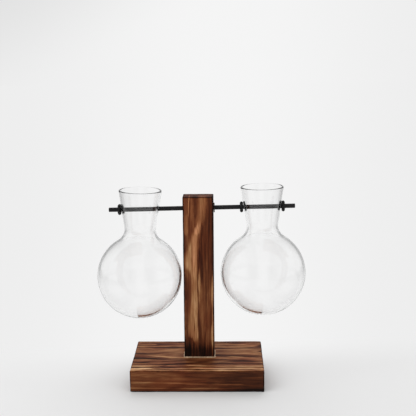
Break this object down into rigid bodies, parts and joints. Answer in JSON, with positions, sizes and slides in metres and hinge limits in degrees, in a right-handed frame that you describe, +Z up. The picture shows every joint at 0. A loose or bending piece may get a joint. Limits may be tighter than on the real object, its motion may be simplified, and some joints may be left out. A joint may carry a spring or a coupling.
{
  "type": "propagation vase",
  "caption": "Wooden stand with a round black rod through its post, and glass bulb vases that hang and swing on the rod between rubber rings.",
  "frame": {"origin": "middle of the base's underside, on the surface that it stands on", "axes": "+Z up, +X to the right along the rod as seen from the front, +Y to the back"},
  "size_m": [0.1923, 0.0825, 0.1803],
  "materials": {
    "base_wood": "charred and stained pine, grain along the length, satin varnish",
    "post_wood": "charred and stained pine, grain upright, satin varnish",
    "dried_glue": "dried wood glue, pale tan",
    "black_iron": "black, satin",
    "clear_glass": "clear, blown, with polished lip and hole edges",
    "black_rubber": "matt black"
  },
  "bodies": {
    "stand": {"base": "base_wood", "post": "post_wood", "glue_bead": "dried_glue"},
    "rod": {"rod": "black_iron"},
    "left_vase": {"left_vase": "clear_glass"},
    "right_vase": {"right_vase": "clear_glass"},
    "left_outer_ring": {"left_outer_ring": "black_rubber"},
    "post_ring": {"post_ring": "black_rubber"},
    "right_inner_ring": {"right_inner_ring": "black_rubber"},
    "right_outer_ring": {"right_outer_ring": "black_rubber"}
  },
  "joints": [
    {"name": "rod_turn", "type": "hinge", "parent": "stand", "child": "rod", "pos_m": [0.0014, 0.0034, 0.1605], "axis": [0.9998, 0, 0.0175], "continuous": true},
    {"name": "left_vase_swing", "type": "hinge", "parent": "rod", "child": "left_vase", "pos_m": [-0.05179, 0.0034, 0.15957], "axis": [0.9998, 0, 0.0175], "continuous": true},
    {"name": "right_vase_swing", "type": "hinge", "parent": "rod", "child": "right_vase", "pos_m": [0.05989, 0.0034, 0.16152], "axis": [0.9998, 0, 0.0175], "continuous": true},
    {"name": "left_outer_ring_slide", "type": "slide", "parent": "rod", "child": "left_outer_ring", "axis": [0.9998, 0, 0.0175], "range_m": [-0.0079, 0]},
    {"name": "post_ring_slide", "type": "slide", "parent": "rod", "child": "post_ring", "axis": [0.9998, 0, 0.0175], "range_m": [0, 0.0113]},
    {"name": "right_inner_ring_slide", "type": "slide", "parent": "rod", "child": "right_inner_ring", "axis": [0.9998, 0, 0.0175], "range_m": [-0.0113, 0]},
    {"name": "right_outer_ring_slide", "type": "slide", "parent": "rod", "child": "right_outer_ring", "axis": [0.9998, 0, 0.0175], "range_m": [0, 0.0089]}
  ]
}
